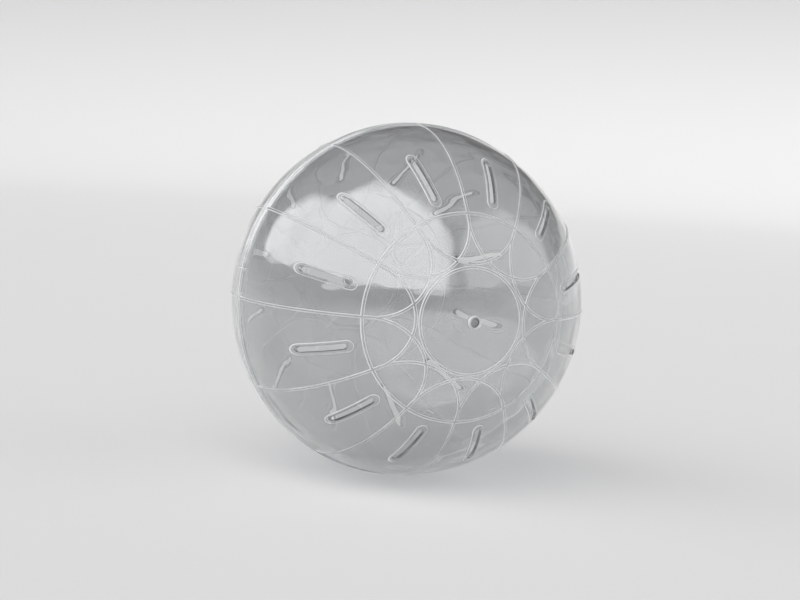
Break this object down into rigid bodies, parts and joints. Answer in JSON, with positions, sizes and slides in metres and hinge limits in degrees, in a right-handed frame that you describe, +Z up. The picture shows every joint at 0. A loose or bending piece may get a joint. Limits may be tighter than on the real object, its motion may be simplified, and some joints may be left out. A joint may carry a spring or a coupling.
{
  "type": "hamster ball",
  "caption": "Clear plastic exercise ball for a hamster: ribbed domes with air slots and axle bosses, which join at a belted seam and pull apart.",
  "frame": {"origin": "centre of the ball, in the middle of the seam", "axes": "+Y along the ball's axis from the front pole to the rear pole, through both axle sockets; +Z up; the ball stands on its seam belt at -Z"},
  "size_m": [0.182, 0.1856, 0.182],
  "materials": {
    "clear_plastic": "clear, colourless and glossy, as moulded"
  },
  "bodies": {
    "rear_half": {"rear_shell": "clear_plastic"},
    "front_half": {"front_shell": "clear_plastic"}
  },
  "joints": [
    {"name": "pull_apart", "type": "slide", "parent": "rear_half", "child": "front_half", "axis": [0, -1, 0], "range_m": [0, 0.12]}
  ]
}
